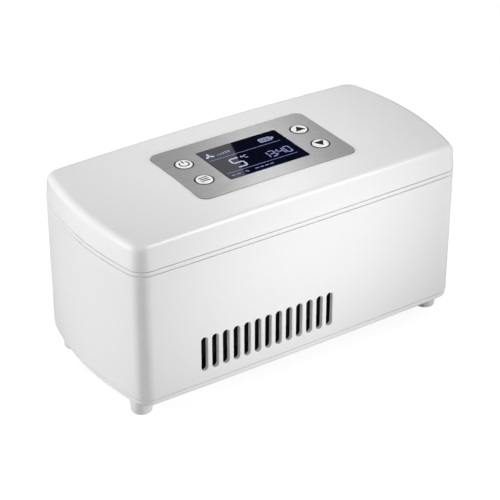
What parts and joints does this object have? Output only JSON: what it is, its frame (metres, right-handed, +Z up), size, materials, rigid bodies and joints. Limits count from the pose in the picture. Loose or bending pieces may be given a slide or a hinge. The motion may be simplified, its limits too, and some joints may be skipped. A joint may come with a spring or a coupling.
{
  "type": "insulin cooling case",
  "caption": "Portable cooling case with a bowed white housing, front vent slots, round feet and a hinged lid with a control panel, over a cooled aluminium tray.",
  "frame": {"origin": "on the floor under the middle of the case, where the feet stand", "axes": "+X to the right along the long side, -Y out of the vented front, +Z up out of the lid"},
  "size_m": [0.205, 0.0989, 0.1036],
  "materials": {
    "white_housing": "gloss white moulding",
    "white_liner": "satin white moulding",
    "button_white": "satin white",
    "white_rubber": "soft white",
    "grey_rubber": "soft grey",
    "silver_panel": "fine brushed silver",
    "dark_lens": "polished dark window",
    "tray_aluminium": "satin",
    "black_aluminium": "black anodised",
    "black_plastic": "matte black",
    "grey_plastic": "matte grey",
    "circuit_board": "green solder mask",
    "cell_wrap": "shrink wrap",
    "ceramic": "bare ceramic",
    "foam": "closed-cell foam",
    "steel": "plated"
  },
  "bodies": {
    "case": {"body_shell": "white_housing", "base_cover": "white_housing", "deck_frame": "white_housing", "cold_tray": "tray_aluminium", "tray_insulation": "foam", "cold_block": "tray_aluminium", "peltier_module": "ceramic", "heat_sink": "black_aluminium", "air_duct": "black_plastic", "battery_cradle": "grey_plastic", "main_board": "circuit_board", "dc_jack": "black_plastic", "temperature_sensor": "black_plastic", "battery_cell_1": "cell_wrap", "battery_cell_2": "cell_wrap", "battery_cell_3": "cell_wrap", "foot_front_left": "white_rubber", "foot_front_right": "white_rubber", "foot_rear_left": "white_rubber", "foot_rear_right": "white_rubber", "base_screw_front_left": "steel", "base_screw_front_right": "steel", "base_screw_rear_left": "steel", "base_screw_rear_right": "steel", "clamp_screw_left": "steel", "clamp_screw_right": "steel", "hinge_pin_left": "steel", "hinge_pin_right": "steel", "catch_plate_left": "steel", "catch_plate_right": "steel", "fan_frame": "black_plastic"},
    "lid": {"lid_shell": "white_housing", "lid_liner": "white_liner", "lid_gasket": "grey_rubber", "lid_insulation": "foam", "lid_magnet_left": "steel", "lid_magnet_right": "steel", "liner_screw_front_left": "steel", "liner_screw_front_right": "steel", "liner_screw_rear_left": "steel", "liner_screw_rear_right": "steel", "control_panel": "silver_panel", "display_lens": "dark_lens", "lcd_module": "black_plastic", "control_board": "circuit_board", "tact_switch_power": "black_plastic", "tact_switch_mode": "black_plastic", "tact_switch_up": "black_plastic", "tact_switch_down": "black_plastic"},
    "power_button": {"button_power": "button_white"},
    "mode_button": {"button_mode": "button_white"},
    "up_button": {"button_up": "button_white"},
    "down_button": {"button_down": "button_white"},
    "fan": {"fan_rotor": "black_plastic"}
  },
  "joints": [
    {"name": "lid_hinge", "type": "hinge", "parent": "case", "child": "lid", "pos_m": [0, 0.0484, 0.086], "axis": [-1, 0, 0], "range_deg": [0, 95]},
    {"name": "power_press", "type": "slide", "parent": "lid", "child": "power_button", "axis": [0, 0, -1], "range_m": [0, 0.0006], "stiffness_N_per_m": 400, "springref_m": -0.0005},
    {"name": "mode_press", "type": "slide", "parent": "lid", "child": "mode_button", "axis": [0, 0, -1], "range_m": [0, 0.0006], "stiffness_N_per_m": 400, "springref_m": -0.0005},
    {"name": "up_press", "type": "slide", "parent": "lid", "child": "up_button", "axis": [0, 0, -1], "range_m": [0, 0.0006], "stiffness_N_per_m": 400, "springref_m": -0.0005},
    {"name": "down_press", "type": "slide", "parent": "lid", "child": "down_button", "axis": [0, 0, -1], "range_m": [0, 0.0006], "stiffness_N_per_m": 400, "springref_m": -0.0005},
    {"name": "fan_spin", "type": "hinge", "parent": "case", "child": "fan", "pos_m": [-0.0231, 0, 0.0133], "axis": [0, 0, 1], "continuous": true}
  ]
}
